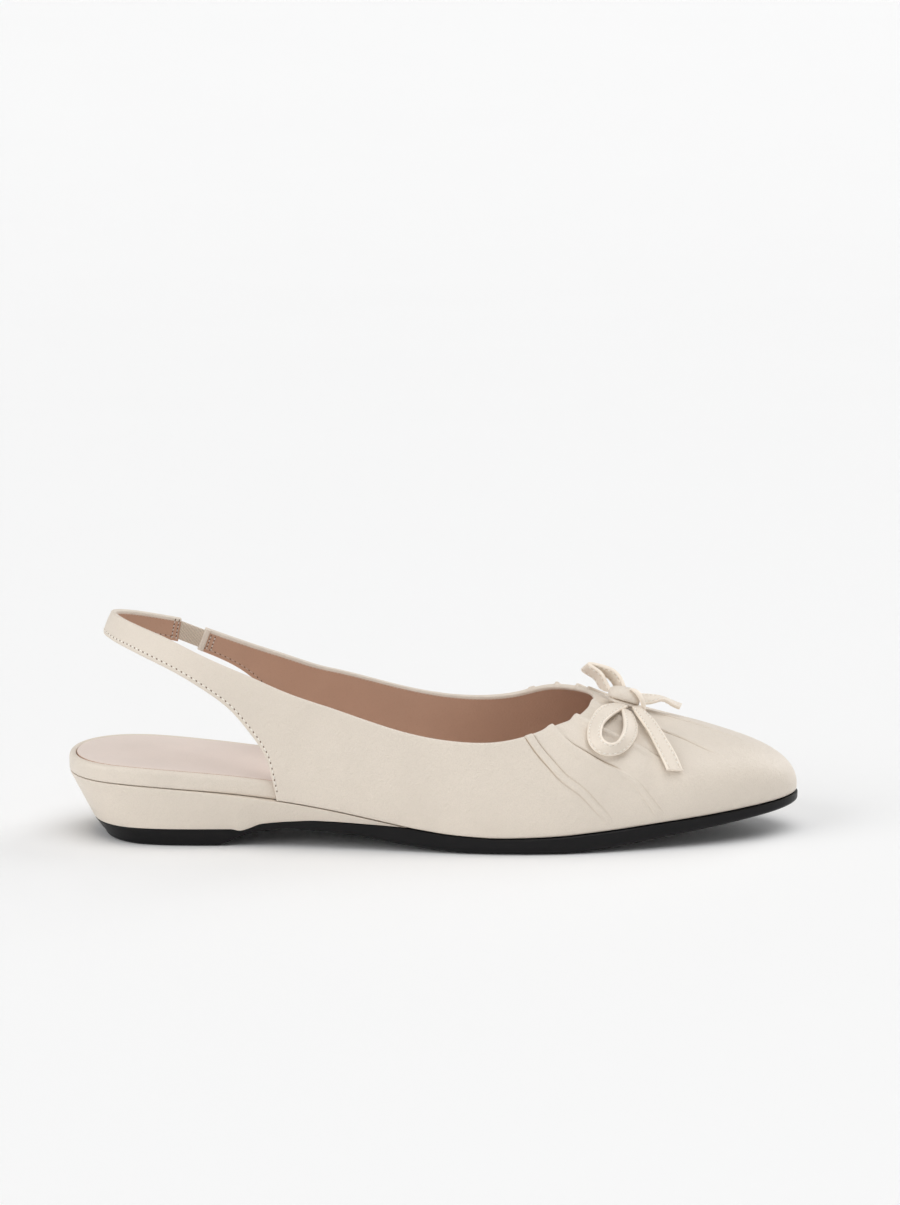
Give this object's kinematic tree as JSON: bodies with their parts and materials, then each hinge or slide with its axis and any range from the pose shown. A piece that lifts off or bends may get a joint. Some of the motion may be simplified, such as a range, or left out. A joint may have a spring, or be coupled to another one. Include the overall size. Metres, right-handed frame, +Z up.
{
  "type": "slingback pump",
  "caption": "Low wedge slingback pump with a soft square toe, gathered throat, lace bow and an elastic in the heel strap.",
  "frame": {"origin": "middle of the footprint's bounding box, on the floor", "axes": "+X from heel to toe, +Y to the inner side of the foot, +Z up"},
  "size_m": [0.2518, 0.078, 0.0771],
  "materials": {
    "rubber": "satin black",
    "leather": "soft cream",
    "sock_leather": "matt blush",
    "elastic": "ribbed cream"
  },
  "bodies": {
    "root": {"outsole": "rubber", "wedge_heel": "leather", "footbed": "leather", "insole_sock": "sock_leather", "upper": "leather", "strap_elastic": "elastic", "bow_knot": "leather", "bow_loop_near": "leather", "bow_loop_far": "leather", "bow_tail_near": "leather", "bow_tail_far": "leather"}
  },
  "joints": []
}
